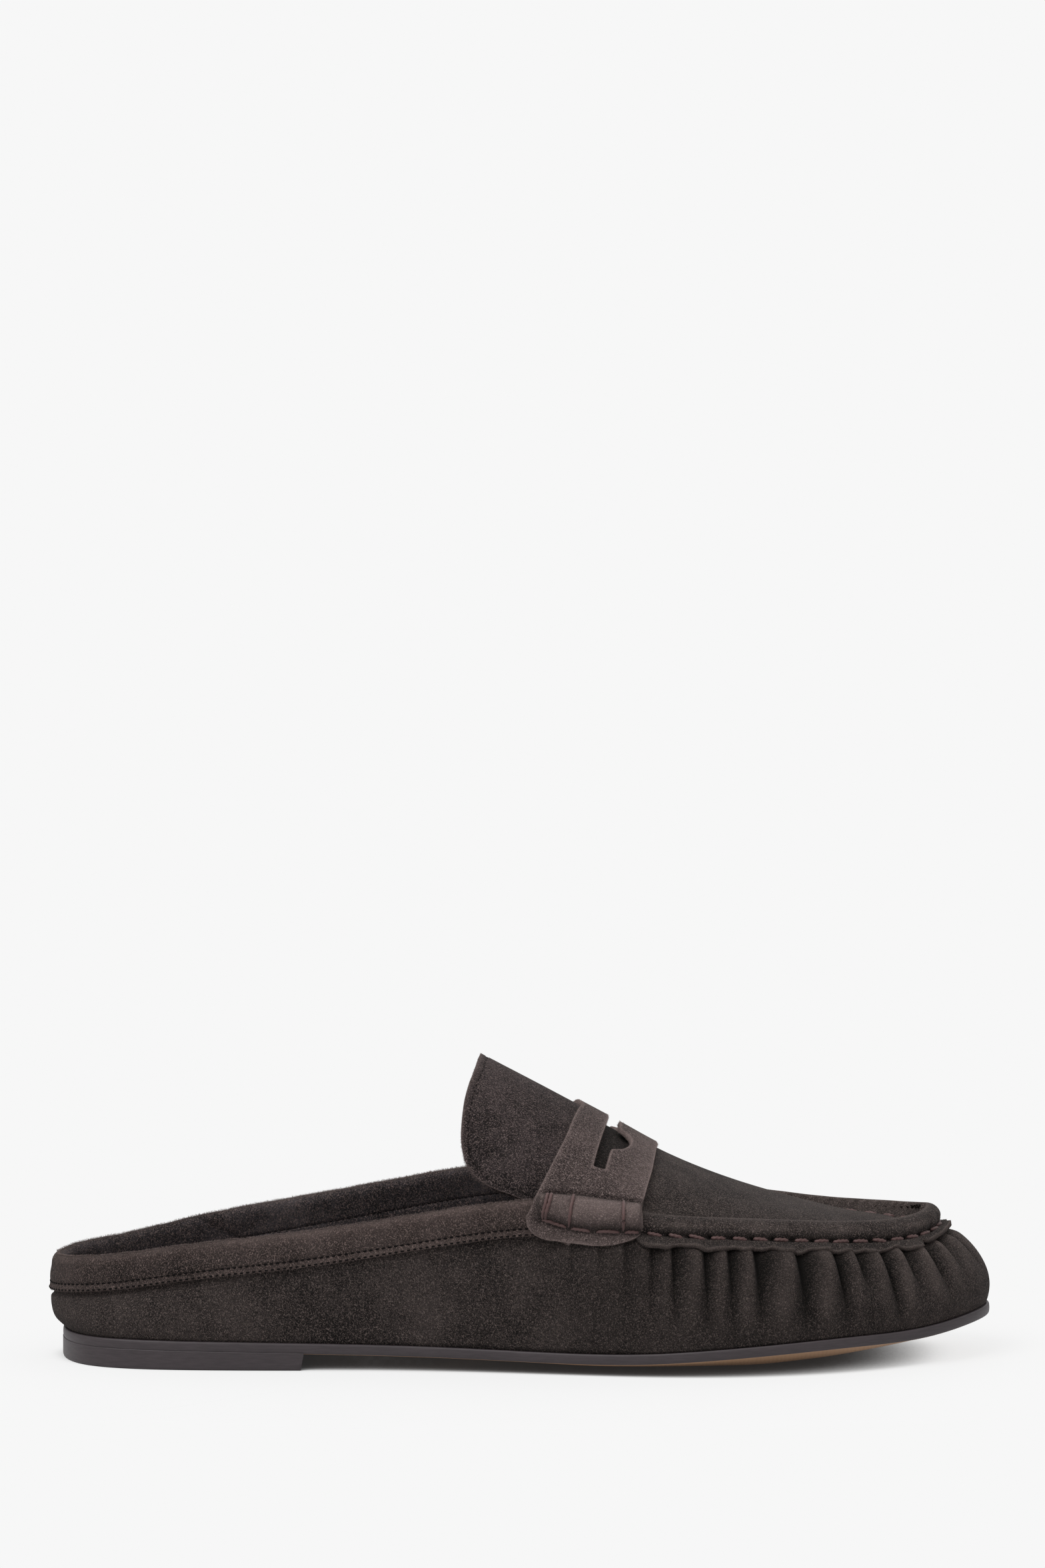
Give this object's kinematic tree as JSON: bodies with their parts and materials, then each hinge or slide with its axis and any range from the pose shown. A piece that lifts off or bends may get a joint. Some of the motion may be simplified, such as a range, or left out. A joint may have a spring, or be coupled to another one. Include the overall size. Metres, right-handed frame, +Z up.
{
  "type": "loafer mule",
  "caption": "Backless suede penny loafer for the right foot, with a gathered moccasin seam, a slotted saddle strap, a raised tongue and a low leather heel.",
  "frame": {"origin": "on the floor under the middle of the shoe's bounding box", "axes": "+X towards the toe, +Y towards the foot's inner side, +Z up"},
  "size_m": [0.2567, 0.0875, 0.0824],
  "materials": {
    "suede": "napped suede",
    "trim_suede": "napped suede",
    "sole_leather": "satin dyed edge, plain tan underside",
    "footbed": "matt smooth"
  },
  "bodies": {
    "root": {"outsole": "sole_leather", "heel": "sole_leather", "insole": "footbed", "upper": "suede", "tongue": "suede", "saddle_strap": "trim_suede", "collar_binding": "trim_suede"}
  },
  "joints": []
}
